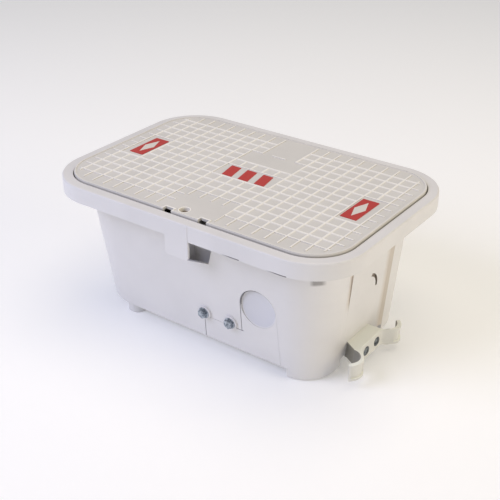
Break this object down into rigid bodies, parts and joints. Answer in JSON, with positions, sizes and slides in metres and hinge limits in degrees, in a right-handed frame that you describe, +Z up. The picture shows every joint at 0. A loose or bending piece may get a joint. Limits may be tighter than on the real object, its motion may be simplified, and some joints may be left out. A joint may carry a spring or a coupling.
{
  "type": "underground gas service box",
  "caption": "Tapered plastic service box for burial, with a broad rim, a ribbed hinged lid with a quarter-turn lock, a screwed-on pipe entry plate and a double pipe bracket.",
  "frame": {"origin": "centre of the footprint of the rim, on the ground", "axes": "+X along the length towards the end with the pipe bracket, -Y towards the lock, +Z up"},
  "size_m": [0.5, 0.338, 0.2216],
  "materials": {
    "housing": "fine moulded grain",
    "cover": "fine moulded grain",
    "washer": "smooth",
    "plaque": "gloss",
    "bracket": "smooth",
    "zinc": "zinc plated",
    "ferrule": "smooth",
    "barrel": "smooth"
  },
  "bodies": {
    "box": {"tub": "housing", "entry_plate": "housing", "entry_washers": "washer", "entry_screws": "zinc", "entry_nuts": "zinc", "pipe_bracket": "bracket", "bracket_screws": "zinc", "bracket_nuts": "zinc"},
    "cover": {"lid": "cover", "plaque_left": "plaque", "plaque_right": "plaque", "lock_ferrule": "ferrule"},
    "lock": {"lock_barrel": "barrel", "lock_ring": "zinc", "lock_cam": "zinc", "lock_nut": "zinc"}
  },
  "joints": [
    {"name": "lid_hinge", "type": "hinge", "parent": "box", "child": "cover", "pos_m": [0, 0.1533, 0.218], "axis": [-1, 0, 0], "range_deg": [0, 80]},
    {"name": "lock_turn", "type": "hinge", "parent": "cover", "child": "lock", "pos_m": [-0.004, -0.1375, 0.2], "axis": [0, 0, 1], "range_deg": [-90, 0]}
  ]
}
